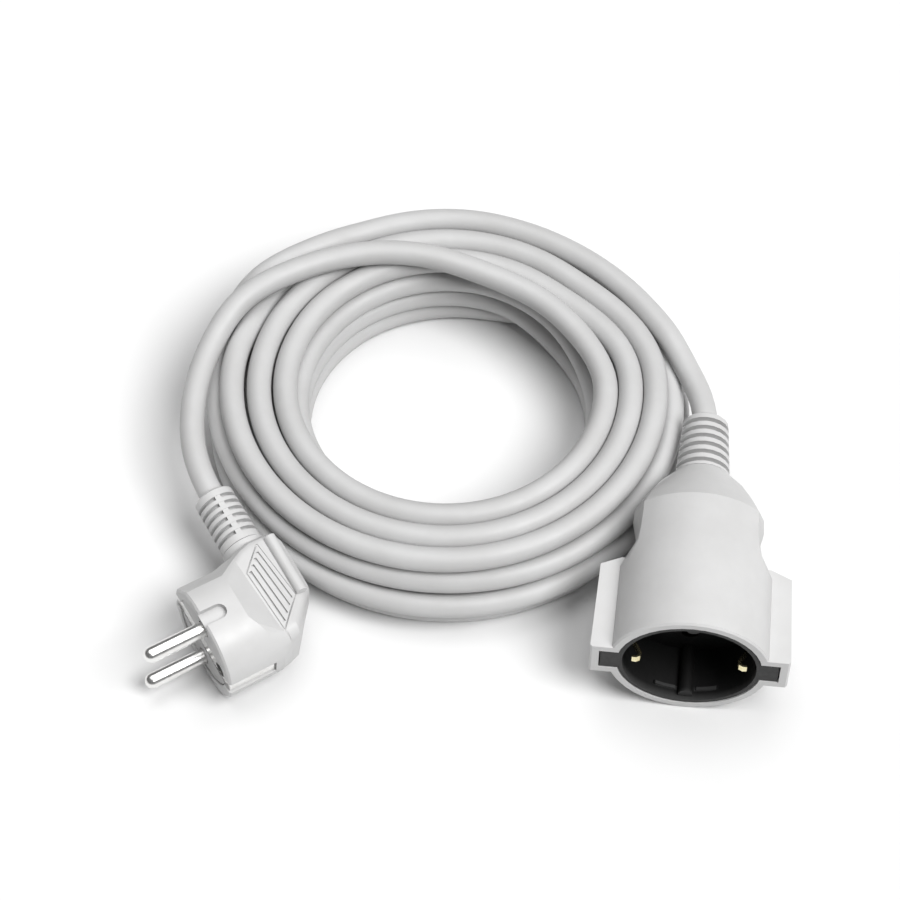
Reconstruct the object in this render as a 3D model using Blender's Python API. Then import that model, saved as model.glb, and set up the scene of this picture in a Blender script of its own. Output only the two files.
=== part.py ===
"""A 5 m household extension cord: angled earthed plug, wound 3-core cord and inline socket.

Blender 4.5, metres, +Z up, standing on z = 0. The plug and the inline socket (the coupler) each
have a frame of their own, an empty, and their pieces are modelled in that frame:
    plug_frame      +X along the cord's exit, +Y out along the pins, +Z up, origin at the face
    coupler_frame   +X to the right, +Y from the mouth to the cord, +Z up, origin at the mouth
"""

import math

import bmesh
import bpy
from mathutils import Matrix, Vector

MM = 0.001
GAP = 0.3 * MM

# Where things lie. The coil's centre is the layout's own origin.
COIL_CENTRE = Vector((-14.72, 55.54, 0.0)) * MM
PLUG_AT = COIL_CENTRE + Vector((-62.85, -93.28, 17.15)) * MM
PLUG_YAW = math.radians(126.3)
PLUG_ROLL = math.radians(7.5)
COUPLER_AT = COIL_CENTRE + Vector((79.8, -90.3, 23.75)) * MM

CORD_RADIUS = 3.8 * MM

# Plug, to the CEE 7/7 standard sheet
PIN_RADIUS = 2.4 * MM
PIN_LENGTH = 19.0 * MM
PIN_OFFSET = 9.5 * MM
POCKET_RADIUS = 13.9 * MM
PLUG_CORD_Y = -25.2 * MM
PLUG_BOOT_START = 21.9 * MM
PLUG_BOOT_END = 41.0 * MM

# Ring grooves in each bend-protection sleeve, and the share of their pitch that is cut away
SLEEVE_GROOVES = 6
GROOVE_SHARE = 0.5

# Coupler, to the CEE 7/3 standard sheet
RECESS_RADIUS = 19.6 * MM
RECESS_DEPTH = 17.5 * MM
CUP_RADIUS = 20.9 * MM
BOOT_BORE = CORD_RADIUS + GAP
COUPLER_BOOT_START = 66.0 * MM
COUPLER_BOOT_END = 86.2 * MM


def clear_scene():
    for obj in list(bpy.data.objects):
        bpy.data.objects.remove(obj, do_unlink=True)


# ---------------------------------------------------------------- materials


def plain(name, colour, roughness, metallic=0.0):
    """A Principled material of one colour, made once and then shared."""
    found = bpy.data.materials.get(name)
    if found:
        return found
    made = bpy.data.materials.new(name)
    made.use_nodes = True
    shader = made.node_tree.nodes["Principled BSDF"]
    shader.inputs["Base Color"].default_value = (*colour, 1.0)
    shader.inputs["Roughness"].default_value = roughness
    shader.inputs["Metallic"].default_value = metallic
    made.diffuse_color = (*colour, 1.0)
    return made


def cord_pvc():
    return plain("cord_pvc", (0.80, 0.80, 0.80), 0.45)


def shell_pvc():
    return plain("shell_pvc", (0.84, 0.84, 0.84), 0.42)


def insert_black():
    return plain("insert_black", (0.02, 0.02, 0.022), 0.40)


def bridge_white():
    return plain("bridge_white", (0.70, 0.70, 0.70), 0.50)


def nickel():
    return plain("nickel", (0.78, 0.77, 0.74), 0.18, 1.0)


def brass():
    return plain("brass", (0.83, 0.66, 0.32), 0.28, 1.0)


def crimp_copper():
    return plain("crimp_copper", (0.75, 0.52, 0.40), 0.35, 1.0)


def core_brown():
    return plain("core_brown", (0.20, 0.09, 0.04), 0.50)


def core_blue():
    return plain("core_blue", (0.05, 0.16, 0.50), 0.50)


def core_earth():
    return plain("core_earth", (0.35, 0.55, 0.08), 0.50)


# ---------------------------------------------------------------- building blocks


def frame_at(name, place, turn):
    """An empty that carries the pieces of one fitting."""
    empty = bpy.data.objects.new(name, None)
    empty.matrix_world = Matrix.Translation(place) @ turn
    bpy.context.scene.collection.objects.link(empty)
    return empty


def piece(name, mesh_data, surface, frame):
    """Links a bmesh as an object of the scene, in its frame, with its faces turned out."""
    bmesh.ops.recalc_face_normals(mesh_data, faces=mesh_data.faces)
    data = bpy.data.meshes.new(name)
    mesh_data.to_mesh(data)
    mesh_data.free()
    data.shade_smooth()
    data.set_sharp_from_angle(angle=math.radians(35))
    obj = bpy.data.objects.new(name, data)
    obj.parent = frame
    bpy.context.scene.collection.objects.link(obj)
    if surface:
        data.materials.append(surface)
    return obj


def skinned(rings, closed_on_itself=False):
    """Quads between successive rings of points. Ends are capped unless the rings form a loop."""
    made = bmesh.new()
    rows = [[made.verts.new(point) for point in ring] for ring in rings]
    pairs = list(zip(rows, rows[1:]))
    if closed_on_itself:
        pairs.append((rows[-1], rows[0]))
    for low, high in pairs:
        for i in range(len(low)):
            j = (i + 1) % len(low)
            made.faces.new((low[i], low[j], high[j], high[i]))
    if not closed_on_itself:
        made.faces.new(rows[0])
        made.faces.new(rows[-1])
    quads = [face for face in made.faces if len(face.verts) == 4]
    bmesh.ops.connect_verts_nonplanar(made, angle_limit=1e-3, faces=quads)
    return made


AXES = {
    "X": (Vector((1, 0, 0)), Vector((0, 1, 0)), Vector((0, 0, 1))),
    "Y": (Vector((0, 1, 0)), Vector((0, 0, 1)), Vector((1, 0, 0))),
    "Z": (Vector((0, 0, 1)), Vector((1, 0, 0)), Vector((0, 1, 0))),
}


def turned(profile, axis, centre=(0, 0, 0), sides=24, hollow=False):
    """Turns (along, radius) pairs about an axis. A hollow profile is a closed loop with a bore."""
    along, first, second = AXES[axis]
    middle = Vector(centre)
    rings = []
    for distance, radius in profile:
        ring = []
        for i in range(sides):
            angle = 2 * math.pi * i / sides
            out = first * math.cos(angle) + second * math.sin(angle)
            ring.append(middle + along * distance + out * radius)
        rings.append(ring)
    return skinned(rings, closed_on_itself=hollow)


def rod(axis, start, end, radius, centre=(0, 0, 0), sides=24):
    return turned([(start, radius), (end, radius)], axis, centre, sides)


def tube(axis, start, end, inner, outer, centre=(0, 0, 0), sides=20):
    profile = [(start, inner), (start, outer), (end, outer), (end, inner)]
    return turned(profile, axis, centre, sides, hollow=True)


def block(x_span, y_span, z_span):
    rings = []
    for z in z_span:
        corners = [(x_span[0], y_span[0]), (x_span[1], y_span[0])]
        corners += [(x_span[1], y_span[1]), (x_span[0], y_span[1])]
        rings.append([Vector((x, y, z)) for x, y in corners])
    return skinned(rings)


def plate(outline, z_span):
    """An outline in X and Y, extruded along Z."""
    return skinned([[Vector((x, y, z)) for x, y in outline] for z in z_span])


def cutter(name, mesh_data, frame):
    obj = piece(name, mesh_data, None, frame)
    obj.hide_render = True
    obj.display_type = "WIRE"
    return obj


def boolean(target, other, operation):
    step = target.modifiers.new(other.name, "BOOLEAN")
    step.operation = operation
    step.solver = "EXACT"
    step.object = other


def cut(target, name, mesh_data):
    boolean(target, cutter(name, mesh_data, target.parent), "DIFFERENCE")


def add(target, name, mesh_data):
    boolean(target, cutter(name, mesh_data, target.parent), "UNION")


def smooth_route(points, spacing):
    """Points every `spacing` along one smooth curve through the given points (centripetal)."""
    ends = [points[0] * 2 - points[1]] + points + [points[-1] * 2 - points[-2]]
    dense = [points[0]]
    for p0, p1, p2, p3 in zip(ends, ends[1:], ends[2:], ends[3:]):
        k1 = (p1 - p0).length ** 0.5
        k2 = k1 + (p2 - p1).length ** 0.5
        k3 = k2 + (p3 - p2).length ** 0.5
        for i in range(1, 25):
            t = k1 + (k2 - k1) * i / 24
            a1 = p0 * ((k1 - t) / k1) + p1 * (t / k1)
            a2 = p1 * ((k2 - t) / (k2 - k1)) + p2 * ((t - k1) / (k2 - k1))
            a3 = p2 * ((k3 - t) / (k3 - k2)) + p3 * ((t - k2) / (k3 - k2))
            b1 = a1 * ((k2 - t) / k2) + a2 * (t / k2)
            b2 = a2 * ((k3 - t) / (k3 - k1)) + a3 * ((t - k1) / (k3 - k1))
            dense.append(b1 * ((k2 - t) / (k2 - k1)) + b2 * ((t - k1) / (k2 - k1)))
    total = sum((b - a).length for a, b in zip(dense, dense[1:]))
    step = total / max(2, round(total / spacing))
    chosen = [dense[0]]
    travelled = 0.0
    for a, b in zip(dense, dense[1:]):
        travelled += (b - a).length
        if travelled >= step * len(chosen) - 1e-9:
            chosen.append(b)
    chosen[-1] = dense[-1]
    return chosen


def cable(name, points, radius, surface, frame=None, resolution=2, spacing=None):
    """A round cable: a POLY curve with a bevel and filled caps."""
    route = smooth_route([Vector(p) for p in points], spacing or radius * 4)
    data = bpy.data.curves.new(name, "CURVE")
    data.dimensions = "3D"
    data.bevel_depth = radius
    data.bevel_resolution = resolution
    data.use_fill_caps = True
    spline = data.splines.new("POLY")
    spline.points.add(len(route) - 1)
    for point, place in zip(spline.points, route):
        point.co = (*place, 1.0)
        point.radius = 1.0
    data.materials.append(surface)
    obj = bpy.data.objects.new(name, data)
    obj.parent = frame
    bpy.context.scene.collection.objects.link(obj)
    return obj


def rounded_ring(y, low_x, high_x, half_height, corner, per_corner):
    """A rounded rectangle across the Y axis, with the same number of points at every station."""
    corner = min(corner, half_height, (high_x - low_x) / 2)
    ring = []
    centres = [(high_x - corner, half_height - corner), (low_x + corner, half_height - corner)]
    centres += [(low_x + corner, corner - half_height), (high_x - corner, corner - half_height)]
    for quarter, (x, z) in enumerate(centres):
        for i in range(per_corner):
            angle = math.pi / 2 * (quarter + i / (per_corner - 1))
            ring.append(Vector((x + corner * math.cos(angle), y, z + corner * math.sin(angle))))
    return ring


# ---------------------------------------------------------------- plug

# Stations of the plug body: distance behind the face, X span, half height, corner radius, and how
# much further back the station lies for each millimetre beyond LEAN_FROM.
PLUG_STATIONS = (
    (0.0, -16.6, 16.6, 16.2, 14.2, 0.0),
    (0.6, -17.2, 17.2, 16.8, 14.6, 0.0),
    (12.2, -17.0, 17.2, 16.6, 14.6, 0.52),
    (18.6, -15.3, 17.8, 10.9, 5.0, 0.30),
    (21.6, -15.0, 18.6, 10.9, 3.8, 0.0),
    (25.0, -13.9, 19.5, 10.5, 3.4, 0.0),
    (31.0, -6.3, 20.0, 8.4, 3.0, 0.0),
    (33.8, -3.2, 19.2, 7.2, 3.0, 0.0),
    (35.0, -1.6, 17.6, 5.5, 2.6, 0.0),
)
LEAN_FROM = -5.0
PLUG_CORNER_POINTS = 9


def plug_ring(back, low_x, high_x, half_height, corner, lean):
    """One station of the plug, with the two corners on the cord's side flattened to facets."""
    span = [low_x * MM, high_x * MM, half_height * MM, corner * MM]
    ring = rounded_ring(-back * MM, *span, per_corner=PLUG_CORNER_POINTS)
    count = len(ring)
    for first, last in ((1, 5), (count - 6, count - 2)):
        for i in range(first + 1, last):
            ring[i] = ring[first].lerp(ring[last], (i - first) / (last - first))
    for point in ring:
        point.y -= lean * max(0.0, LEAN_FROM * MM - point.x)
    return ring


def grip_height(back):
    """Half height of the plug at a distance behind its face, in millimetres."""
    heights = [(station[0], station[3]) for station in PLUG_STATIONS]
    for (near, first), (far, second) in zip(heights, heights[1:]):
        if near <= back <= far:
            return first + (second - first) * (back - near) / (far - near)
    return heights[-1][1]


def plug_body(frame):
    rings = [plug_ring(*station) for station in PLUG_STATIONS]
    body = piece("plug_body", skinned(rings), shell_pvc(), frame)
    for side in (-1, 1):
        grip_panel(body, side)
        bar_at = (0, -31.6 * MM, side * 9.0 * MM)
        add(body, f"grip_bar_{side}", rod("X", -2.8 * MM, 17.4 * MM, 1.8 * MM, bar_at, 20))
    boss_at = (0, PLUG_CORD_Y, 0)
    add(body, "boot_boss", rod("X", 15.0 * MM, PLUG_BOOT_START - GAP, 6.8 * MM, boss_at, 24))
    pocket = rod("Y", -4.0 * MM, 1.0 * MM, POCKET_RADIUS, sides=40)
    cut(body, "pin_pocket", pocket)
    contact_room = ((-5.0, 6.5), (-16.5, -3.5), (-11.4, 11.4))
    sleeve_room = ((-13.2, -4.9), (-16.5, -3.5), (-4.0, 4.0))
    crossing_room = ((-12.0, 6.4), (-20.9, -16.4), (-8.4, 8.4))
    core_room = ((-4.0, 15.6), (-28.8, -16.3), (-6.3, 6.3))
    rooms = (contact_room, sleeve_room, crossing_room, core_room)
    for number, spans in enumerate(rooms):
        x_span, y_span, z_span = ([value * MM for value in span] for span in spans)
        cut(body, f"room_{number}", block(x_span, y_span, z_span))
    cut(body, "cord_bore", rod("X", 15.0 * MM, 30.0 * MM, BOOT_BORE + GAP, boss_at, 20))
    for side in (-1, 1):
        groove(body, side)
        pin_at = (0, 0, side * PIN_OFFSET)
        cut(body, f"pin_room_{side}", rod("Y", -13.6 * MM, -3 * MM, 3.7 * MM, pin_at, 16))
        strip = ((15.3, 20.0), (-15.6, 1.0), (-2.85, 2.85))
        x_span, y_span, z_span = ([value * MM for value in span] for span in strip)
        cut(body, f"strip_seat_{side}", block(sorted(side * x for x in x_span), y_span, z_span))
    channel = block((-18.8 * MM, 18.8 * MM), (-1.6 * MM, 1.2 * MM), (-2.7 * MM, 2.7 * MM))
    cut(body, "strip_channel", channel)
    return body


def groove(body, side):
    """The round-ended guide groove that a socket's rib runs in."""
    half, depth = 2.4 * MM, 5.5 * MM
    outline = [(half, 1.0 * MM), (-half, 1.0 * MM)]
    for i in range(9):
        angle = math.pi * (1 + i / 8)
        outline.append((half * math.cos(angle), -depth + half * math.sin(angle)))
    z_span = sorted((side * 14.7 * MM, side * 20.0 * MM))
    cut(body, f"guide_groove_{side}", plate(outline, z_span))


# Corners of the ribbed grip panel, across and behind the face.
PANEL_CORNERS = ((9.2, 19.6), (16.8, 27.05), (-2.75, 29.5), (-12.1, 20.8))


def grip_slot(body, name, start, end, half_width, depth, side):
    """A slot of even depth between two points of a sloping grip face."""
    rings = []
    line = Vector((end[0] - start[0], start[1] - end[1])).normalized()
    across = Vector((-line.y, line.x)) * half_width
    for x, back in (start, end):
        low = side * (grip_height(back) - depth)
        high = side * (grip_height(back) + 3.0)
        corners = [(1, low), (-1, low), (-1, high), (1, high)]
        ring = [Vector((x + w * across.x, w * across.y - back, z)) * MM for w, z in corners]
        rings.append(ring)
    cut(body, name, skinned(rings))


def grip_panel(body, side):
    """A framed panel with four grooves between its front and rear edges."""
    for i, start in enumerate(PANEL_CORNERS):
        end = PANEL_CORNERS[(i + 1) % len(PANEL_CORNERS)]
        grip_slot(body, f"panel_line_{side}_{i}", start, end, 0.22, 0.45, side)
    front_right, rear_right, rear_left, front_left = [Vector(corner) for corner in PANEL_CORNERS]
    for i in range(4):
        share = 0.16 + 0.22 * i
        start = front_left.lerp(rear_left, share)
        end = front_right.lerp(rear_right, share)
        inset = (end - start).normalized() * 1.1
        ends = [tuple(start + inset), tuple(end - inset)]
        grip_slot(body, f"grip_groove_{side}_{i}", *ends, 0.45, 0.95, side)


def plug_pin_bridge(frame):
    """The rigid disc that holds the pins at 19 mm and the earth strip across the middle."""
    disc = rod("Y", -3.7 * MM, -0.4 * MM, POCKET_RADIUS - GAP, sides=36)
    bridge = piece("plug_pin_bridge", disc, bridge_white(), frame)
    for side in (-1, 1):
        hole_at = (0, 0, side * PIN_OFFSET)
        cut(bridge, f"pin_hole_{side}", rod("Y", -5 * MM, 1 * MM, PIN_RADIUS + GAP, hole_at, 20))
    channel = block((-16 * MM, 16 * MM), (-1.5 * MM, 0.5 * MM), (-2.8 * MM, 2.8 * MM))
    cut(bridge, "strip_channel", channel)
    sleeve_at = (-10 * MM, 0, 0)
    cut(bridge, "sleeve_hole", rod("Y", -5 * MM, 1 * MM, 3.2 * MM, sleeve_at, 20))
    return bridge


def plug_pin(name, height, frame):
    """A 4.8 mm solid pin with a domed tip, a collar behind the bridge and a crimp tail."""
    profile = [(-9.0 * MM, 1.6 * MM), (-5.6 * MM, 1.6 * MM), (-5.6 * MM, 3.2 * MM)]
    profile += [(-4.0 * MM, 3.2 * MM), (-4.0 * MM, PIN_RADIUS)]
    for i in range(5):
        angle = math.pi / 2 * i / 5
        along = PIN_LENGTH - PIN_RADIUS * (1 - math.sin(angle))
        profile.append((along, PIN_RADIUS * math.cos(angle)))
    profile.append((PIN_LENGTH, 0.25 * MM))
    return piece(name, turned(profile, "Y", (0, 0, height), 20), nickel(), frame)


def plug_earth_strip(frame):
    """The U-shaped strip: across the face, back along both sides, with the earth-pin sleeve."""
    thick, across, behind = 0.7 * MM, 16.3 * MM, -15.2 * MM
    front = -0.5 * MM
    outline = [(-across, front), (-across, behind), (-across + thick, behind)]
    outline += [(-across + thick, front - thick), (across - thick, front - thick)]
    outline += [(across - thick, behind), (across, behind), (across, front)]
    bent = plate(outline, (-2.4 * MM, 2.4 * MM))
    strip = piece("plug_earth_strip", bent, nickel(), frame)
    sleeve_at = (-10 * MM, 0, 0)
    add(strip, "sleeve", rod("Y", -12.0 * MM, front - 0.1 * MM, 2.9 * MM, sleeve_at, 20))
    cut(strip, "sleeve_bore", rod("Y", -11.0 * MM, 1 * MM, 2.35 * MM, sleeve_at, 20))
    add(strip, "sleeve_tail", rod("Y", -14.0 * MM, -11.5 * MM, 1.0 * MM, sleeve_at, 12))
    return strip


def crimp(name, axis, span, inner, outer, centre, frame):
    return piece(name, tube(axis, *span, inner, outer, centre, 14), crimp_copper(), frame)


def plug_wiring(frame):
    pin_crimp = (1.9 * MM, 2.5 * MM)
    for side, word in ((1, "live"), (-1, "neutral")):
        at = (0, 0, side * PIN_OFFSET)
        crimp(f"plug_crimp_{word}", "Y", (-12.4 * MM, -6.2 * MM), *pin_crimp, at, frame)
    earth_at = (-10 * MM, 0, 0)
    crimp("plug_crimp_earth", "Y", (-15.8 * MM, -12.5 * MM), 1.3 * MM, 2.0 * MM, earth_at, frame)
    lead_end = 15.4
    for side, word, surface in ((1, "live", core_brown()), (-1, "neutral", core_blue())):
        path = [(0, -12.8, 9.5), (0.2, -14.3, 9.2), (2.2, -18.0, 4.9)]
        path += [(6.5, -22.0, 2.6), (11.0, -23.9, 1.9), (lead_end, -24.2, 1.8)]
        route = [Vector((x, y, side * z)) * MM for x, y, z in path]
        cable(f"plug_lead_{word}", route, 1.1 * MM, surface, frame, 1, 2.4 * MM)
    path = [(-10.0, -16.2, 0), (-9.0, -17.8, 0), (-5.0, -18.6, 0), (-1.0, -21.0, 0)]
    path += [(4.0, -25.2, 0), (9.0, -26.9, 0), (lead_end, -27.1, 0)]
    route = [Vector(point) * MM for point in path]
    cable("plug_lead_earth", route, 1.1 * MM, core_earth(), frame, 1, 2.4 * MM)


def ribbed_sleeve(name, axis, centre, span, radii, ribbed, spine_axis, frame):
    """A bend-protection sleeve: a tapering tube with ring grooves, parted by two spines."""
    start, end = span
    root, tip, depth = (radius * MM for radius in radii)
    length = end - start
    pitch = length * (ribbed[1] - ribbed[0]) / SLEEVE_GROOVES
    first = start + length * ribbed[0]

    def surface(at):
        return root + (tip - root) * (at - start) / length

    profile = [(start, BOOT_BORE), (start, root)]
    for i in range(SLEEVE_GROOVES):
        low = first + pitch * i
        high = low + pitch * GROOVE_SHARE
        profile += [(low, surface(low)), (low, surface(low) - depth)]
        profile += [(high, surface(high) - depth), (high, surface(high))]
    profile += [(end - 0.7 * MM, tip), (end, tip - 0.7 * MM), (end, BOOT_BORE)]
    sleeve = piece(name, turned(profile, axis, centre, 20, hollow=True), shell_pvc(), frame)
    along = AXES[axis][0]
    outward = AXES[spine_axis][0]
    across = along.cross(outward) * 0.9 * MM
    inset = 0.2 * MM
    for side in (-1, 1):
        rings = []
        for at in (first - 0.4 * MM, end - 1.2 * MM):
            middle = Vector(centre) + along * at
            low = outward * side * (surface(at) - depth - 0.3 * MM)
            high = outward * side * (surface(at) - inset)
            rings.append([middle + low + across, middle + low - across])
            rings[-1] += [middle + high - across, middle + high + across]
        add(sleeve, f"{name}_spine_{side}", skinned(rings))
    return sleeve


def build_plug(frame):
    plug_body(frame)
    plug_pin_bridge(frame)
    plug_pin("pin_live", PIN_OFFSET, frame)
    plug_pin("pin_neutral", -PIN_OFFSET, frame)
    plug_earth_strip(frame)
    plug_wiring(frame)
    cord_line = (0, PLUG_CORD_Y, 0)
    span = (PLUG_BOOT_START, PLUG_BOOT_END)
    radii = (6.5, 6.2, 1.7)
    ribbed_sleeve("plug_strain_relief", "X", cord_line, span, radii, (0.12, 0.92), "Z", frame)
    cord_end = rod("X", 15.8 * MM, PLUG_BOOT_END, CORD_RADIUS, cord_line, 16)
    piece("cord_end_plug", cord_end, cord_pvc(), frame)


# ---------------------------------------------------------------- coupler

# Stations of the coupler housing: distance from the mouth, half width, the lengthwise edge's place
# across and up, half height, and how round the side wall is below the edge (1 is a circle).
COUPLER_STATIONS = (
    (0.0, 23.2, 17.77, 14.91, 23.2, 1.0),
    (0.6, 23.75, 18.19, 15.27, 23.75, 1.0),
    (28.0, 23.4, 17.93, 15.04, 23.4, 1.0),
    (33.0, 21.7, 17.7, 14.7, 22.8, 0.5),
    (37.0, 19.4, 17.3, 14.5, 22.3, 0.1),
    (42.0, 18.3, 17.0, 14.4, 21.8, 0.0),
    (46.9, 19.4, 16.9, 14.0, 21.2, 0.0),
    (48.2, 19.6, 16.3, 13.4, 20.2, 0.0),
    (52.6, 19.4, 14.9, 11.0, 17.2, 0.1),
    (56.0, 17.5, 13.0, 9.2, 14.9, 0.3),
    (60.4, 14.1, 10.4, 7.2, 11.9, 0.6),
    (65.7, 8.6, 6.59, 5.53, 8.6, 1.0),
)


def housing_ring(y, side, edge_x, edge_z, top, roundness):
    """One station: a wall from mid height up to the lengthwise edge, then an arc over the top."""
    rise = top - edge_z
    arc_radius = (edge_x**2 + rise**2) / (2 * rise)
    reach = math.asin(edge_x / arc_radius)
    quarter = []
    for i in range(4):
        angle = math.radians(10 * i)
        flat = Vector((side, 0)).lerp(Vector((edge_x, edge_z)), i / 4)
        quarter.append(flat.lerp(Vector((math.cos(angle), math.sin(angle))) * side, roundness))
    for i in range(6):
        angle = reach * (1 - i / 5)
        x = arc_radius * math.sin(angle)
        quarter.append(Vector((x, top - arc_radius * (1 - math.cos(angle)))))
    corners = [(p.x, p.y) for p in quarter]
    corners += [(-p.x, p.y) for p in quarter[-2::-1]]
    corners += [(-p.x, -p.y) for p in quarter[1:]]
    corners += [(p.x, -p.y) for p in quarter[-2:0:-1]]
    return [Vector((x, y, z)) * MM for x, z in corners]


def coupler_housing(frame):
    rings = [housing_ring(*station) for station in COUPLER_STATIONS]
    housing = piece("coupler_housing", skinned(rings), shell_pvc(), frame)
    for side in (-1, 1):
        add(housing, f"wing_{side}", wing(side))
    inside = [(-1.0, 21.2), (30.0, 21.2), (33.0, 17.6), (36.0, 14.9), (46.0, 14.9)]
    inside += [(58.0, 6.4), (60.0, 4.4), (70.0, 4.4)]
    hollow = turned([(y * MM, r * MM) for y, r in inside], "Y", sides=40)
    cut(housing, "inside", hollow)
    for side in (-1, 1):
        x_span = sorted((side * 18.0 * MM, side * 26.3 * MM))
        pocket = block(x_span, (-1 * MM, 24 * MM), (-4.5 * MM, 4.5 * MM))
        cut(housing, f"clip_pocket_{side}", pocket)
    return housing


def wing(side):
    """A side ear, which gives the earth clip room to spring outwards. Its back end is slanted."""
    inner, outer = 19.0, 29.0
    outline = [(inner, 0.0), (outer - 0.6, 0.0), (outer, 0.6), (outer - 0.9, 28.4)]
    outline += [(inner + 3, 31.2), (inner, 31.2)]
    return plate([(side * x * MM, y * MM) for x, y in outline], (-6.8 * MM, 6.8 * MM))


def socket_insert(frame):
    """The black cup: recess, floor with two pin holes, guide ribs, clip slots and wing tabs."""
    front, floor, back = 0.25 * MM, RECESS_DEPTH, 20.0 * MM
    profile = [(back, CUP_RADIUS), (front, CUP_RADIUS), (front, RECESS_RADIUS)]
    profile += [(floor, RECESS_RADIUS)]
    cup = turned(profile, "Y", sides=40)
    insert = piece("socket_insert", cup, insert_black(), frame)
    for side in (-1, 1):
        x_span = sorted((side * 20.3 * MM, side * 25.9 * MM))
        tab = block(x_span, (front, 2.2 * MM), (-4.2 * MM, 4.2 * MM))
        add(insert, f"wing_tab_{side}", tab)
        x_span = sorted((side * 17.4 * MM, side * 23.0 * MM))
        slot = block(x_span, (2.4 * MM, 21 * MM), (-3.2 * MM, 3.2 * MM))
        cut(insert, f"clip_slot_{side}", slot)
        hole_at = (0, 0, side * PIN_OFFSET)
        cut(insert, f"pin_hole_{side}", rod("Y", 15 * MM, 22 * MM, 2.75 * MM, hole_at, 20))
        add(insert, f"guide_rib_{side}", guide_rib(side))
        for across in (-1, 1):
            add(insert, f"ledge_{side}_{across}", raised_ledge(across, side))
    return insert


def raised_ledge(across, side):
    """A small step on the recess wall, following the wall's curve."""
    inner, outer = RECESS_RADIUS - 0.7 * MM, RECESS_RADIUS + 0.4 * MM
    low, high = math.radians(9.5), math.radians(29.5)
    outline = []
    for i in range(5):
        angle = low + (high - low) * i / 4
        outline.append((across * outer * math.sin(angle), side * outer * math.cos(angle)))
    for i in range(5):
        angle = high + (low - high) * i / 4
        outline.append((across * inner * math.sin(angle), side * inner * math.cos(angle)))
    return skinned([[Vector((x, y, z)) for x, z in outline] for y in (3.3 * MM, 4.3 * MM)])


def guide_rib(side):
    """A round-topped rib on the wall, opposite the plug's guide groove."""
    radius, crown, seat = 2.1 * MM, 18.5 * MM, RECESS_RADIUS + 0.37 * MM
    points = [(radius, side * seat)]
    for i in range(12):
        angle = math.pi * i / 11
        points.append((radius * math.cos(angle), side * (crown - radius * math.sin(angle))))
    points.append((-radius, side * seat))
    return skinned([[Vector((x, y, z)) for x, z in points] for y in (1.4 * MM, 18.1 * MM)])


def socket_contact(name, height, frame):
    """A tulip contact that grips the plug's pin, with a tail to crimp the core to."""
    profile = [(44.0, 0.3), (44.0, 1.5), (34.2, 1.5), (34.2, 3.2), (20.4, 3.2)]
    profile += [(20.4, 2.45), (33.0, 2.45), (33.0, 0.3)]
    shape = turned([(y * MM, r * MM) for y, r in profile], "Y", (0, 0, height), 18, hollow=True)
    return piece(name, shape, brass(), frame)


def earth_bridge(frame):
    """The flat bar behind the cup that joins both earth clips, with its crimp tail."""
    bar = block((-18.9 * MM, 18.9 * MM), (23.1 * MM, 24.1 * MM), (-2.4 * MM, 2.4 * MM))
    bridge = piece("earth_bridge", bar, brass(), frame)
    add(bridge, "earth_tail", rod("Y", 23.6 * MM, 44.0 * MM, 1.5 * MM, sides=12))
    return bridge


# The earth clip's centre line, from its root at the bridge to the tip at the mouth, and its half
# height at each point.
CLIP_LINE = (
    (18.6, 22.7, 1.9),
    (18.6, 14.0, 1.9),
    (16.4, 6.4, 1.6),
    (14.8, 3.6, 1.4),
    (14.3, 2.6, 1.35),
    (14.6, 1.7, 1.3),
    (15.6, 1.2, 1.3),
    (16.7, 1.3, 1.2),
)
CLIP_ROOT = Vector((18.6, 22.4, 0.0)) * MM


def earth_clip(name, side, frame):
    """A bent, tapering brass strip. Its frame stands on the bend that it springs about."""
    root = Vector((side * CLIP_ROOT.x, CLIP_ROOT.y, 0.0))
    hinge = bpy.data.objects.new(name + "_hinge", None)
    hinge.parent = frame
    hinge.location = root
    bpy.context.scene.collection.objects.link(hinge)
    half = 0.35 * MM
    line = [Vector((side * x, y, 0)) * MM - root for x, y, height in CLIP_LINE]
    rings = []
    for i, (point, (x, y, height)) in enumerate(zip(line, CLIP_LINE)):
        forward = (line[min(i + 1, len(line) - 1)] - line[max(i - 1, 0)]).normalized()
        across = Vector((-forward.y, forward.x, 0)) * half
        up = Vector((0, 0, height * MM))
        rings.append([point + across + up, point - across + up])
        rings[-1] += [point - across - up, point + across - up]
    return piece(name, skinned(rings), brass(), hinge)


def insert_rear_cover(frame):
    """The disc that closes the contact chamber, with a hole for each contact's tail."""
    disc = rod("Y", 36.3 * MM, 38.6 * MM, 14.5 * MM, sides=32)
    cover = piece("insert_rear_cover", disc, insert_black(), frame)
    for side in (-1, 0, 1):
        hole_at = (0, 0, side * PIN_OFFSET)
        cut(cover, f"tail_hole_{side}", rod("Y", 35 * MM, 40 * MM, 1.8 * MM, hole_at, 14))
    return cover


def coupler_wiring(frame):
    rows = ((1, "live", core_brown()), (0, "earth", core_earth()), (-1, "neutral", core_blue()))
    for side, word, surface in rows:
        at = (0, 0, side * PIN_OFFSET)
        span = (39.0 * MM, 46.0 * MM)
        crimp(f"coupler_crimp_{word}", "Y", span, 1.8 * MM, 2.4 * MM, at, frame)
        path = [(0, 46.4, 9.5), (0.1, 48.2, 8.3), (0.2, 52.5, 4.2), (0.1, 56.6, 2.6), (0, 60.2, 2.2)]
        if side == 0:
            path = [(0, 46.4, 0), (-0.6, 50.0, 0), (-1.8, 55.0, 0), (-2.0, 60.2, 0)]
        route = [Vector((x, y, (side or 1) * z)) * MM for x, y, z in path]
        cable(f"coupler_lead_{word}", route, 1.1 * MM, surface, frame, 1, 2.4 * MM)


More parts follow.
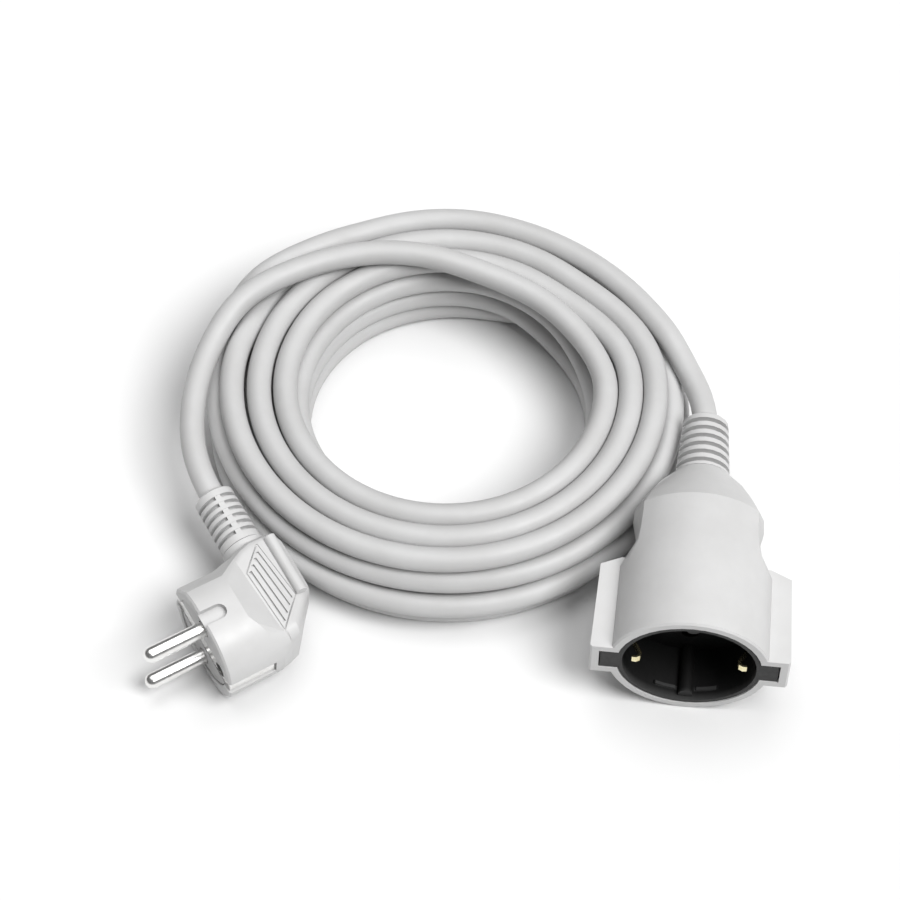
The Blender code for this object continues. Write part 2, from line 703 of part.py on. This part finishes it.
def build_coupler(frame):
    coupler_housing(frame)
    socket_insert(frame)
    socket_contact("socket_contact_live", PIN_OFFSET, frame)
    socket_contact("socket_contact_neutral", -PIN_OFFSET, frame)
    earth_bridge(frame)
    earth_clip("earth_clip_left", -1, frame)
    earth_clip("earth_clip_right", 1, frame)
    insert_rear_cover(frame)
    coupler_wiring(frame)
    centre = (0, 0, 0)
    span = (COUPLER_BOOT_START, COUPLER_BOOT_END)
    radii = (8.4, 7.0, 2.0)
    ribbed_sleeve("coupler_strain_relief", "Y", centre, span, radii, (0.05, 0.96), "X", frame)
    cord_end = rod("Y", 60.6 * MM, COUPLER_BOOT_END, CORD_RADIUS, sides=16)
    piece("cord_end_coupler", cord_end, cord_pvc(), frame)


# ---------------------------------------------------------------- cord

# Routes in millimetres from the coil's centre, chosen by hand.
PLUG_RUN = (
    (-14.9, 44.3, 34.8),
    (-25.2, 43.6, 34.8),
    (-36.7, 41.5, 34.8),
    (-47.7, 36.0, 34.8),
    (-57.6, 29.0, 34.8),
    (-66.3, 22.9, 34.4),
    (-71.0, 16.6, 32.6),
    (-74.2, 9.4, 29.9),
    (-76.3, 1.4, 27.9),
    (-77.3, -6.1, 26.6),
    (-77.5, -13.3, 25.9),
    (-76.9, -20.8, 25.2),
    (-75.4, -28.8, 24.6),
    (-72.9, -36.4, 23.9),
)
COUPLER_RUN = ((75.2, 14.9, 24.1), (77.3, 10.4, 24.0), (78.8, 6.2, 23.9), (79.5, 2.2, 23.8))


def cord_coil():
    """The outer shape of the wound turns, as one turned ring."""
    profile = [(0.05, 43.5), (0.05, 69.4), (7.5, 72.7), (15.4, 72.7), (19.5, 70.0)]
    profile += [(30.4, 69.0), (30.4, 45.0), (27.5, 43.2)]
    ring = turned([(z * MM, r * MM) for z, r in profile], "Z", COIL_CENTRE, 48, hollow=True)
    return piece("cord_coil", ring, cord_pvc(), None)


def build_cord(plug_frame, coupler_frame):
    cord_coil()
    boot_mouth = plug_frame.matrix_world @ Vector((PLUG_BOOT_END + GAP, PLUG_CORD_Y, 0))
    before = plug_frame.matrix_world @ Vector((PLUG_BOOT_END + 6 * MM, PLUG_CORD_Y, 0))
    route = [COIL_CENTRE + Vector(point) * MM for point in PLUG_RUN] + [before, boot_mouth]
    cable("cord_run_plug", route, CORD_RADIUS, cord_pvc(), None, 3, 6 * MM)
    boot_mouth = coupler_frame.matrix_world @ Vector((0, COUPLER_BOOT_END + GAP, 0))
    before = coupler_frame.matrix_world @ Vector((0, COUPLER_BOOT_END + 3 * MM, 0))
    route = [COIL_CENTRE + Vector(point) * MM for point in COUPLER_RUN] + [before, boot_mouth]
    cable("cord_run_coupler", route, CORD_RADIUS, cord_pvc(), None, 3, 2.4 * MM)


def main():
    clear_scene()
    turn = Matrix.Rotation(PLUG_YAW, 4, "Z") @ Matrix.Rotation(-PLUG_ROLL, 4, "Y")
    plug_frame = frame_at("plug_frame", PLUG_AT, turn)
    coupler_frame = frame_at("coupler_frame", COUPLER_AT, Matrix.Identity(4))
    build_plug(plug_frame)
    build_coupler(coupler_frame)
    build_cord(plug_frame, coupler_frame)


main()
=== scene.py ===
"""Looks of the extension cord: one wound cord, the plug's and the coupler's finish, light and camera.

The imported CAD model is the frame. The cord is the only piece that replaces CAD solids.
"""

import math

import bpy
import numpy as np
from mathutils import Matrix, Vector


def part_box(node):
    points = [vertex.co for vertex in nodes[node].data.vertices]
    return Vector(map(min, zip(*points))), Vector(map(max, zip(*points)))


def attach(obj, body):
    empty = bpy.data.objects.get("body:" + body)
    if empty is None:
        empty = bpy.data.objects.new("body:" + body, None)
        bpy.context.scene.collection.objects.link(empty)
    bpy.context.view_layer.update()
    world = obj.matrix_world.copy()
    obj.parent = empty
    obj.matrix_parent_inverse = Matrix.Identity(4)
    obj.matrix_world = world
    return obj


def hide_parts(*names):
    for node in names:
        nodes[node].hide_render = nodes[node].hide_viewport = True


MM = 0.001
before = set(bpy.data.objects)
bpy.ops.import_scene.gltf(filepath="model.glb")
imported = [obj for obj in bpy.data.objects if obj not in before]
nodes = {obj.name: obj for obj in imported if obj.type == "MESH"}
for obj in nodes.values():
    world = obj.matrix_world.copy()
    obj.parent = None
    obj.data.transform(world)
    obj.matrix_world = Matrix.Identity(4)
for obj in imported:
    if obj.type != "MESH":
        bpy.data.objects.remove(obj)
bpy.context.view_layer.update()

# ---------------------------------------------------------------- layout, in millimetres

COIL_CENTRE = Vector((-14.72, 55.54, 0.0))
CORD_DIAMETER = 7.6

# ---------------------------------------------------------------- camera


def make_camera():
    data = bpy.data.cameras.new("camera")
    data.lens = 120
    data.sensor_width = 36
    data.clip_start = 0.05
    data.clip_end = 20
    camera = bpy.data.objects.new("camera", data)
    bpy.context.scene.collection.objects.link(camera)
    place = COIL_CENTRE + Vector((56.6, -532.4, 779.1))
    aim = COIL_CENTRE + Vector((1.2, -5.8, 0.0))
    camera.location = place * MM
    camera.rotation_euler = (aim - place).to_track_quat("-Z", "Y").to_euler()
    bpy.context.scene.camera = camera


make_camera()

# ---------------------------------------------------------------- the cord's route

# The lanes of the winding in the order that the cord fills them: the radius from the coil's axis at
# its right, far, left and near side, then the height.
LANES = (
    ((49.0, 48.6, 50.3, 48.4), 26.7),
    ((56.5, 56.2, 58.4, 55.9), 26.7),
    ((63.8, 63.8, 66.5, 63.4), 26.7),
    ((56.9, 56.6, 57.6, 56.6), 19.1),
    ((47.1, 47.1, 47.1, 47.1), 19.1),
    ((47.1, 47.1, 47.1, 47.1), 11.5),
    ((47.1, 47.1, 47.1, 47.1), 3.9),
    ((56.9, 56.9, 57.6, 56.9), 3.9),
    ((54.9, 54.7, 54.9, 54.7), 11.5),
    ((62.6, 62.3, 62.6, 62.3), 11.5),
    ((67.4, 66.7, 67.4, 66.7), 3.9),
    ((70.3, 69.9, 70.3, 68.9), 11.5),
    ((69.6, 67.0, 70.0, 66.0), 19.1),
)
# The cord runs clockwise, so azimuths fall. It leaves each lane for the next at these azimuths.
LEAVES = (32, 32, 105, 125, 35, 60, 60, 107, 106, 37, 90, 50)
FIRST_AZIMUTH = 7.5
STEP = 7.5
PER_TURN = 48
SHIFT_SPAN = 44.0
# The third turn dives from the top under the last one, which rises over it and is the cord's
# outermost strand at the far side: azimuth, radius and height.
DIVE_LEAVE = 2
DIVE = (
    (185, 66.6, 26.7),
    (175, 66.5, 26.6),
    (160, 65.2, 25.0),
    (150, 64.6, 22.4),
    (140, 65.0, 20.4),
    (130, 66.0, 19.2),
    (120, 66.0, 19.1),
)
RISE = (
    (200, 70.0, 19.1),
    (190, 70.4, 19.4),
    (175, 72.2, 21.2),
    (160, 73.2, 24.2),
    (150, 72.2, 26.0),
    (135, 67.6, 26.7),
    (120, 64.8, 26.4),
    (98, 64.4, 26.2),
    (87, 64.2, 26.1),
    (74, 63.6, 26.1),
    (60, 63.9, 26.0),
    (46, 65.2, 25.6),
    (30, 68.0, 24.8),
    (19, 71.4, 24.2),
)
# Loose ends, about the coil's centre. Each first or last point is inside its sleeve.
PLUG_TAIL = (
    (-65.4, -47.2, 22.24),
    (-66.6, -45.6, 22.5),
    (-69.3, -41.7, 23.1),
    (-72.4, -35.9, 23.9),
    (-75.2, -28.6, 24.7),
    (-76.6, -20.5, 25.3),
    (-77.2, -13.2, 25.9),
    (-76.9, -6.1, 26.7),
    (-75.8, 0.9, 27.8),
    (-73.4, 9.6, 29.4),
    (-70.1, 17.2, 31.2),
    (-65.4, 23.7, 33.0),
    (-57.4, 29.6, 34.4),
    (-47.7, 35.7, 34.6),
    (-36.7, 40.6, 34.6),
    (-25.2, 43.4, 34.6),
    (-16.0, 44.0, 34.4),
    (-7.8, 43.8, 33.6),
    (-0.6, 42.7, 32.3),
    (12.5, 39.9, 30.0),
    (26.0, 34.3, 28.7),
    (36.3, 25.8, 27.6),
    (44.1, 16.0, 27.0),
)
COUPLER_TAIL = (
    (73.6, 14.2, 23.9),
    (77.4, 6.8, 23.8),
    (79.3, 0.4, 23.75),
    (79.8, -4.4, 23.75),
    (79.8, -6.2, 23.75),
)


def lane_radius(values, azimuth):
    """The radius of an oval lane from its radii at the right, far, left and near side."""
    right, far, left, near = values
    angle = math.radians(azimuth)
    mean = (right + far + left + near) / 4
    sideways = (right - left) / 2 * math.cos(angle)
    in_depth = (far - near) / 2 * math.sin(angle)
    oval = (right + left - far - near) / 4 * math.cos(2 * angle)
    return mean + sideways + in_depth + oval


def eased(share):
    share = min(1.0, max(0.0, share))
    return share * share * (3 - 2 * share)


def along(table, azimuth):
    """Radius and height from a table of (azimuth, radius, height), its azimuths falling."""
    places = [-row[0] for row in table]
    radius = np.interp(-azimuth, places, [row[1] for row in table])
    height = np.interp(-azimuth, places, [row[2] for row in table])
    return float(radius), float(height)


def next_azimuth(at, wanted):
    """The unwrapped azimuth where the cord, now at `at`, next passes the wanted one."""
    travel = (at - wanted) % 360
    return at - (travel + 360 if travel < 100 else travel)


def wanted_winding():
    """Azimuth, radius and height along the winding, before its strands settle."""
    leaves = []
    at = FIRST_AZIMUTH
    for azimuth in LEAVES:
        at = next_azimuth(at, azimuth)
        leaves.append(at)
    dive_start = leaves[1] - (leaves[1] - DIVE[0][0]) % 360
    dive_end = dive_start - (DIVE[0][0] - DIVE[-1][0])
    rise_start = leaves[-1] - (leaves[-1] - RISE[0][0]) % 360
    end = rise_start - (RISE[0][0] - RISE[-1][0])
    rows = []
    for step in range(int((FIRST_AZIMUTH - end) / STEP) + 1):
        azimuth = FIRST_AZIMUTH - STEP * step
        lane = sum(1 for leave in leaves if azimuth < leave)
        radius = lane_radius(LANES[lane][0], azimuth)
        height = LANES[lane][1]
        if dive_end <= azimuth <= dive_start:
            radius, height = along(DIVE, DIVE[0][0] - (dive_start - azimuth))
        for number, leave in enumerate(leaves):
            if abs(azimuth - leave) < SHIFT_SPAN / 2:
                share = eased((leave + SHIFT_SPAN / 2 - azimuth) / SHIFT_SPAN)
                before = (lane_radius(LANES[number][0], azimuth), LANES[number][1])
                if number == DIVE_LEAVE:
                    before = DIVE[-1][1:]
                after = (lane_radius(LANES[number + 1][0], azimuth), LANES[number + 1][1])
                radius = before[0] + (after[0] - before[0]) * share
                height = before[1] + (after[1] - before[1]) * share
        if azimuth <= rise_start:
            radius, height = along(RISE, RISE[0][0] - (rise_start - azimuth))
        rows.append((azimuth, radius, height))
    return np.array(rows)


def settled(rows):
    """Pushes strands that pass the same azimuth apart to one diameter, and smooths each one."""
    rounds, ease, stiff, loose, top_height = 600, 0.35, 0.25, 0.03, 25.9
    clearance, innermost = 0.06, 47.0
    wanted_r, wanted_z = rows[:, 1], rows[:, 2]
    r, z = wanted_r.copy(), wanted_z.copy()
    hold = np.where(wanted_z > top_height, stiff, loose)
    for turn in range(rounds):
        move_r = np.zeros_like(r)
        move_z = np.zeros_like(z)
        for gap in range(PER_TURN, len(r), PER_TURN):
            across = r[gap:] - r[:-gap]
            up = z[gap:] - z[:-gap]
            apart = np.hypot(across, up) + 1e-9
            push = np.clip(CORD_DIAMETER + clearance - apart, 0, None) * 0.5 / apart
            share = hold[gap:] / (hold[gap:] + hold[:-gap])
            move_r[gap:] += push * across * (1 - share)
            move_r[:-gap] -= push * across * share
            move_z[gap:] += push * up * (1 - share)
            move_z[:-gap] -= push * up * share
        r = np.maximum(r + move_r, innermost)
        z = np.maximum(z + move_z, CORD_DIAMETER / 2 + 0.05)
        pull = hold * 0.15 if turn < rounds * 0.7 else 0.0
        for values, wanted in ((r, wanted_r), (z, wanted_z)):
            off = values - wanted
            smooth = off.copy()
            smooth[1:-1] = (off[:-2] + 2 * off[1:-1] + off[2:]) / 4
            values[:] = wanted + off + (smooth - off) * ease - off * pull
    return r, z


def winding():
    rows = wanted_winding()
    r, z = settled(rows)
    angle = np.radians(rows[:, 0])
    return np.stack([r * np.cos(angle), r * np.sin(angle), z], 1)


def smooth_line(points, spacing):
    """Evenly spaced points on a centripetal curve through the given ones."""
    ends = np.vstack([2 * points[0] - points[1], points, 2 * points[-1] - points[-2]])
    dense = [points[0]]
    for p0, p1, p2, p3 in zip(ends, ends[1:], ends[2:], ends[3:]):
        k1 = np.linalg.norm(p1 - p0) ** 0.5
        k2 = k1 + np.linalg.norm(p2 - p1) ** 0.5
        k3 = k2 + np.linalg.norm(p3 - p2) ** 0.5
        for t in np.linspace(k1, k2, 9)[1:]:
            a1 = p0 * ((k1 - t) / k1) + p1 * (t / k1)
            a2 = p1 * ((k2 - t) / (k2 - k1)) + p2 * ((t - k1) / (k2 - k1))
            a3 = p2 * ((k3 - t) / (k3 - k2)) + p3 * ((t - k2) / (k3 - k2))
            b1 = a1 * ((k2 - t) / k2) + a2 * (t / k2)
            b2 = a2 * ((k3 - t) / (k3 - k1)) + a3 * ((t - k1) / (k3 - k1))
            dense.append(b1 * ((k2 - t) / (k2 - k1)) + b2 * ((t - k1) / (k2 - k1)))
    dense = np.array(dense)
    travelled = np.concatenate([[0], np.cumsum(np.linalg.norm(np.diff(dense, axis=0), axis=1))])
    places = np.linspace(0, travelled[-1], int(travelled[-1] / spacing) + 1)
    line = np.stack([np.interp(places, travelled, dense[:, i]) for i in range(3)], 1)
    for _ in range(4):
        line[1:-1] = (line[:-2] + 2 * line[1:-1] + line[2:]) / 4
    return line


def make_cord():
    points = np.vstack([np.array(PLUG_TAIL), winding(), np.array(COUPLER_TAIL)])
    line = (smooth_line(points, 3.0) + np.array(COIL_CENTRE)) * MM
    data = bpy.data.curves.new("cord", "CURVE")
    data.dimensions = "3D"
    data.bevel_depth = 1.0  # the points' radii below hold the real half thickness
    data.bevel_resolution = 6
    data.use_fill_caps = True
    spline = data.splines.new("POLY")
    spline.points.add(len(line) - 1)
    for point, place in zip(spline.points, line):
        point.co = (*place, 1.0)
        point.radius = CORD_DIAMETER / 2 * MM
    cord = bpy.data.objects.new("cord", data)
    bpy.context.scene.collection.objects.link(cord)
    length = float(np.linalg.norm(np.diff(line, axis=0), axis=1).sum())
    return cord, length


cord, cord_length = make_cord()
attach(cord, "lead")
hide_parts("cord_coil", "cord_run_plug", "cord_run_coupler")

# ---------------------------------------------------------------- materials


class Surface:
    """A Principled material built from noise, with object coordinates in metres."""

    def __init__(self, name, roughness, metallic=0.0):
        self.material = bpy.data.materials.new(name)
        self.material.use_nodes = True
        self.tree = self.material.node_tree
        self.shader = self.tree.nodes["Principled BSDF"]
        self.shader.inputs["Metallic"].default_value = metallic
        self.shader.inputs["Roughness"].default_value = roughness
        self.place = self.tree.nodes.new("ShaderNodeTexCoord").outputs["Object"]
        self.normal = None

    def node(self, kind, inputs=(), **settings):
        made = self.tree.nodes.new(kind)
        for key, value in settings.items():
            setattr(made, key, value)
        for key, value in dict(inputs).items():
            if isinstance(value, bpy.types.NodeSocket):
                self.tree.links.new(value, made.inputs[key])
            else:
                made.inputs[key].default_value = value
        return made

    def noise(self, size, detail=3.0, rough=0.55, distortion=0.0, stretch=None):
        """Noise whose features are about `size` millimetres across."""
        place = self.place
        if stretch:
            scaled = self.node("ShaderNodeMapping", {"Vector": place, "Scale": stretch})
            place = scaled.outputs["Vector"]
        inputs = {"Vector": place, "Scale": 1 / (size * MM), "Detail": detail}
        inputs.update({"Roughness": rough, "Distortion": distortion})
        return self.node("ShaderNodeTexNoise", inputs).outputs["Fac"]

    def ramp(self, value, low, high, first, second):
        """Maps value from low..high to first..second, clamped."""
        inputs = {"Value": value, "From Min": low, "From Max": high}
        inputs.update({"To Min": first, "To Max": second})
        return self.node("ShaderNodeMapRange", inputs).outputs["Result"]

    def maths(self, operation, *values):
        return self.node("ShaderNodeMath", enumerate(values), operation=operation).outputs[0]

    def within(self, value, low, high):
        """1 where the value is between low and high, and 0 elsewhere."""
        above = self.maths("GREATER_THAN", value, low)
        below = self.maths("LESS_THAN", value, high)
        return self.maths("MULTIPLY", above, below)

    def mix(self, share, first, second):
        """A blend of two colours. The node's colour sockets are inputs 6 and 7 and output 2."""
        inputs = {0: share, 6: first, 7: second}
        return self.node("ShaderNodeMix", inputs, data_type="RGBA").outputs[2]

    def colour(self, value):
        self.tree.links.new(value, self.shader.inputs["Base Color"])

    def roughness(self, value):
        self.tree.links.new(value, self.shader.inputs["Roughness"])

    def bump(self, height, distance, strength=1.0):
        inputs = {"Height": height, "Distance": distance * MM, "Strength": strength}
        if self.normal:
            inputs["Normal"] = self.normal
        self.normal = self.node("ShaderNodeBump", inputs).outputs["Normal"]
        self.tree.links.new(self.normal, self.shader.inputs["Normal"])


def tint(grey, warm=0.0):
    return (grey * (1 + warm), grey, grey * (1 - warm), 1.0)


def moulded_pvc(name, light, dark, gloss):
    """Moulded PVC: a fine spark-eroded grain, faint flow clouds and a few handling marks."""
    surface = Surface(name, gloss)
    clouds = surface.noise(14, 4, 0.6)
    marks = surface.ramp(surface.noise(2.2, 6, 0.7, 0.8), 0.60, 0.78, 0.0, 1.0)
    share = surface.ramp(clouds, 0.35, 0.65, 0.0, 1.0)
    body = surface.mix(share, tint(dark, 0.004), tint(light, 0.002))
    surface.colour(surface.mix(surface.ramp(marks, 0, 1, 0, 0.25), body, tint(dark * 0.9, 0.01)))
    grain = surface.noise(0.16, 2, 0.5)
    surface.roughness(surface.ramp(surface.noise(5, 5, 0.6), 0.3, 0.7, gloss - 0.05, gloss + 0.07))
    surface.bump(surface.noise(9, 2, 0.5), 0.10, 0.35)
    surface.bump(grain, 0.012, 0.6)
    return surface.material


def cord_pvc():
    """The jacket: satin PVC with slow waves from the cores below, a fine grain and a few dusty patches.
    """
    surface = Surface("cord_jacket", 0.5)
    clouds = surface.noise(22, 4, 0.6)
    body = surface.mix(surface.ramp(clouds, 0.35, 0.65, 0.0, 1.0), tint(0.465, 0.004), tint(0.505, 0.0))
    dust = surface.ramp(surface.noise(0.9, 5, 0.7), 0.62, 0.80, 0.0, 0.22)
    surface.colour(surface.mix(dust, body, tint(0.43, 0.01)))
    surface.roughness(surface.ramp(surface.noise(7, 5, 0.6), 0.3, 0.7, 0.44, 0.58))
    surface.bump(surface.noise(11, 2, 0.5), 0.22, 0.5)
    surface.bump(surface.noise(0.22, 2, 0.5), 0.010, 0.5)
    return surface.material


def insert_black():
    """The dark cup. Deep inside it is near-black, which is painted shade. Its ring and tabs at the
    mouth, and its two ledges, are painted a lighter charcoal, which is painted light.
    """
    surface = Surface("insert_black", 0.6)
    surface.shader.inputs["Specular IOR Level"].default_value = 0.25
    split = surface.node("ShaderNodeSeparateXYZ", {"Vector": surface.place})
    low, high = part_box("socket_insert")
    mouth, middle = float(low.y), (low + high) / 2
    # Painted light: over the first 2.4 mm in from the mouth, the charcoal fades to the near-black
    # painted shade of the cup.
    painted_mouth_light = surface.ramp(split.outputs["Y"], mouth + 0.2 * MM, mouth + 2.4 * MM, 1.0, 0.0)
    # Painted highlight: the two ledges behind the mouth, beside the rib and low in the cup, are painted
    # charcoal.
    behind_mouth = surface.within(split.outputs["Y"], mouth + 3.0 * MM, mouth + 4.25 * MM)
    off_middle = surface.maths("ABSOLUTE", surface.maths("SUBTRACT", split.outputs["X"], middle.x))
    beside_rib = surface.within(off_middle, 2.4 * MM, 9.0 * MM)
    low_down = surface.within(split.outputs["Z"], middle.z - 19.4 * MM, middle.z - 10.0 * MM)
    painted_ledge_highlight = surface.maths("MULTIPLY", surface.maths("MULTIPLY", behind_mouth, beside_rib), low_down)
    # Painted light mask: the band at the mouth and the two ledges.
    painted_light_mask = surface.maths("MAXIMUM", painted_mouth_light, painted_ledge_highlight)
    # Painted shade: near-black for the cup deeper in. Painted light: charcoal grey for the band at the
    # mouth and the ledges.
    painted_shade_black = surface.mix(surface.noise(3, 4, 0.6), tint(0.0045), tint(0.0075))
    grey = surface.mix(surface.noise(1.2, 5, 0.7), tint(0.030), tint(0.050))
    surface.colour(surface.mix(painted_light_mask, painted_shade_black, grey))
    surface.roughness(surface.ramp(surface.noise(2, 5, 0.6), 0.3, 0.7, 0.55, 0.70))
    surface.bump(surface.noise(0.2, 2, 0.5), 0.012, 0.7)
    return surface.material


def metal(name, light, dark, gloss, brushed):
    """Plated or plain metal with drawing lines and slight tarnish."""
    surface = Surface(name, gloss, 1.0)
    tarnish = surface.ramp(surface.noise(1.8, 5, 0.65), 0.40, 0.70, 0.0, 1.0)
    surface.colour(surface.mix(tarnish, (*light, 1.0), (*dark, 1.0)))
    lines = surface.noise(0.25, 4, 0.6, stretch=brushed)
    surface.roughness(surface.ramp(lines, 0.3, 0.7, gloss - 0.05, gloss + 0.08))
    surface.bump(lines, 0.004, 0.5)
    return surface.material


def core_insulation(name, colour):
    surface = Surface(name, 0.42)
    dark = tuple(0.75 * part for part in colour)
    surface.colour(surface.mix(surface.noise(1.5, 4, 0.6), (*dark, 1.0), (*colour, 1.0)))
    surface.roughness(surface.ramp(surface.noise(0.8, 4, 0.6), 0.3, 0.7, 0.36, 0.5))
    surface.bump(surface.noise(0.3, 3, 0.5), 0.01, 0.6)
    return surface.material


FINISHES = {
    "shell": moulded_pvc("shell_pvc", 0.55, 0.52, 0.44),
    "cord": cord_pvc(),
    "insert": insert_black(),
    "bridge": moulded_pvc("bridge_pvc", 0.50, 0.44, 0.45),
    "nickel": metal("nickel", (0.90, 0.90, 0.89), (0.78, 0.77, 0.75), 0.24, (1, 1, 6)),
    "brass": metal("brass", (0.93, 0.86, 0.58), (0.80, 0.68, 0.36), 0.22, (1, 6, 1)),
    "crimp": metal("crimp_copper", (0.80, 0.58, 0.46), (0.62, 0.38, 0.26), 0.30, (1, 1, 4)),
    "core_brown": core_insulation("core_brown", (0.20, 0.09, 0.04)),
    "core_blue": core_insulation("core_blue", (0.05, 0.16, 0.50)),
    "core_earth": core_insulation("core_earth", (0.35, 0.55, 0.08)),
}


def shading_group(name, angle):
    """Joins the tessellation's split corners and shades smooth up to an angle between faces."""
    group = bpy.data.node_groups.new(name, "GeometryNodeTree")
    group.interface.new_socket("Geometry", in_out="INPUT", socket_type="NodeSocketGeometry")
    group.interface.new_socket("Geometry", in_out="OUTPUT", socket_type="NodeSocketGeometry")
    start = group.nodes.new("NodeGroupInput")
    end = group.nodes.new("NodeGroupOutput")
    joined = group.nodes.new("GeometryNodeMergeByDistance")
    joined.inputs["Distance"].default_value = 0.002 * MM
    smooth = group.nodes.new("GeometryNodeSetShadeSmooth")
    sharp = group.nodes.new("GeometryNodeSetShadeSmooth")
    sharp.domain = "EDGE"
    sharp.inputs["Shade Smooth"].default_value = False
    edges = group.nodes.new("GeometryNodeInputMeshEdgeAngle")
    above = group.nodes.new("FunctionNodeCompare")
    above.inputs[1].default_value = math.radians(angle)
    links = group.links
    links.new(start.outputs[0], joined.inputs["Geometry"])
    links.new(joined.outputs[0], smooth.inputs["Geometry"])
    links.new(smooth.outputs[0], sharp.inputs["Geometry"])
    links.new(edges.outputs["Unsigned Angle"], above.inputs[0])
    links.new(above.outputs[0], sharp.inputs["Selection"])
    links.new(sharp.outputs[0], end.inputs[0])
    return group


def dress_nodes():
    crisp = shading_group("crisp_shading", 17)
    round_off = shading_group("round_shading", 32)
    for name, node in nodes.items():
        finish = FINISHES[node.data.materials[0].name.split(".")[0]]
        node.data.materials[0] = finish
        kept = node.data.attributes.get("custom_normal")
        if kept:
            node.data.attributes.remove(kept)
        for edge in node.data.edges:
            edge.use_edge_sharp = False
        step = node.modifiers.new("shading", "NODES")
        step.node_group = crisp if name in ("plug_body", "coupler_housing") else round_off


dress_nodes()
cord.data.materials.append(FINISHES["cord"])

# ---------------------------------------------------------------- floor and light


def make_floor():
    data = bpy.data.meshes.new("floor")
    reach = 40.0
    corners = [(-reach, -reach, 0), (reach, -reach, 0), (reach, reach, 0), (-reach, reach, 0)]
    data.from_pydata(corners, [], [(0, 1, 2, 3)])
    floor = bpy.data.objects.new("floor", data)
    bpy.context.scene.collection.objects.link(floor)
    paper = bpy.data.materials.new("floor_paper")
    paper.use_nodes = True
    shader = paper.node_tree.nodes["Principled BSDF"]
    shader.inputs["Base Color"].default_value = (0.74, 0.74, 0.74, 1.0)
    shader.inputs["Roughness"].default_value = 0.9
    shader.inputs["Specular IOR Level"].default_value = 0.1
    data.materials.append(paper)


def soft_sun(name, towards, spread, energy):
    """A softbox so far off that it lights the whole floor evenly; `towards` points at it."""
    data = bpy.data.lights.new(name, "SUN")
    data.angle = math.radians(spread)
    data.energy = energy
    light = bpy.data.objects.new(name, data)
    bpy.context.scene.collection.objects.link(light)
    light.location = Vector(towards)
    light.rotation_euler = Vector(towards).to_track_quat("Z", "Y").to_euler()


def make_light():
    world = bpy.data.worlds.new("studio")
    world.use_nodes = True
    backdrop = world.node_tree.nodes["Background"]
    backdrop.inputs["Color"].default_value = (1.0, 1.0, 1.0, 1.0)
    backdrop.inputs["Strength"].default_value = 0.14
    bpy.context.scene.world = world
    soft_sun("key", (0.62, -0.37, 1.10), 32, 3.1)
    soft_sun("top", (-0.10, 0.25, 1.2), 50, 1.4)
    view = bpy.context.scene.view_settings
    view.view_transform = "Standard"
    view.look = "None"
    view.exposure = 0.0


make_floor()
make_light()
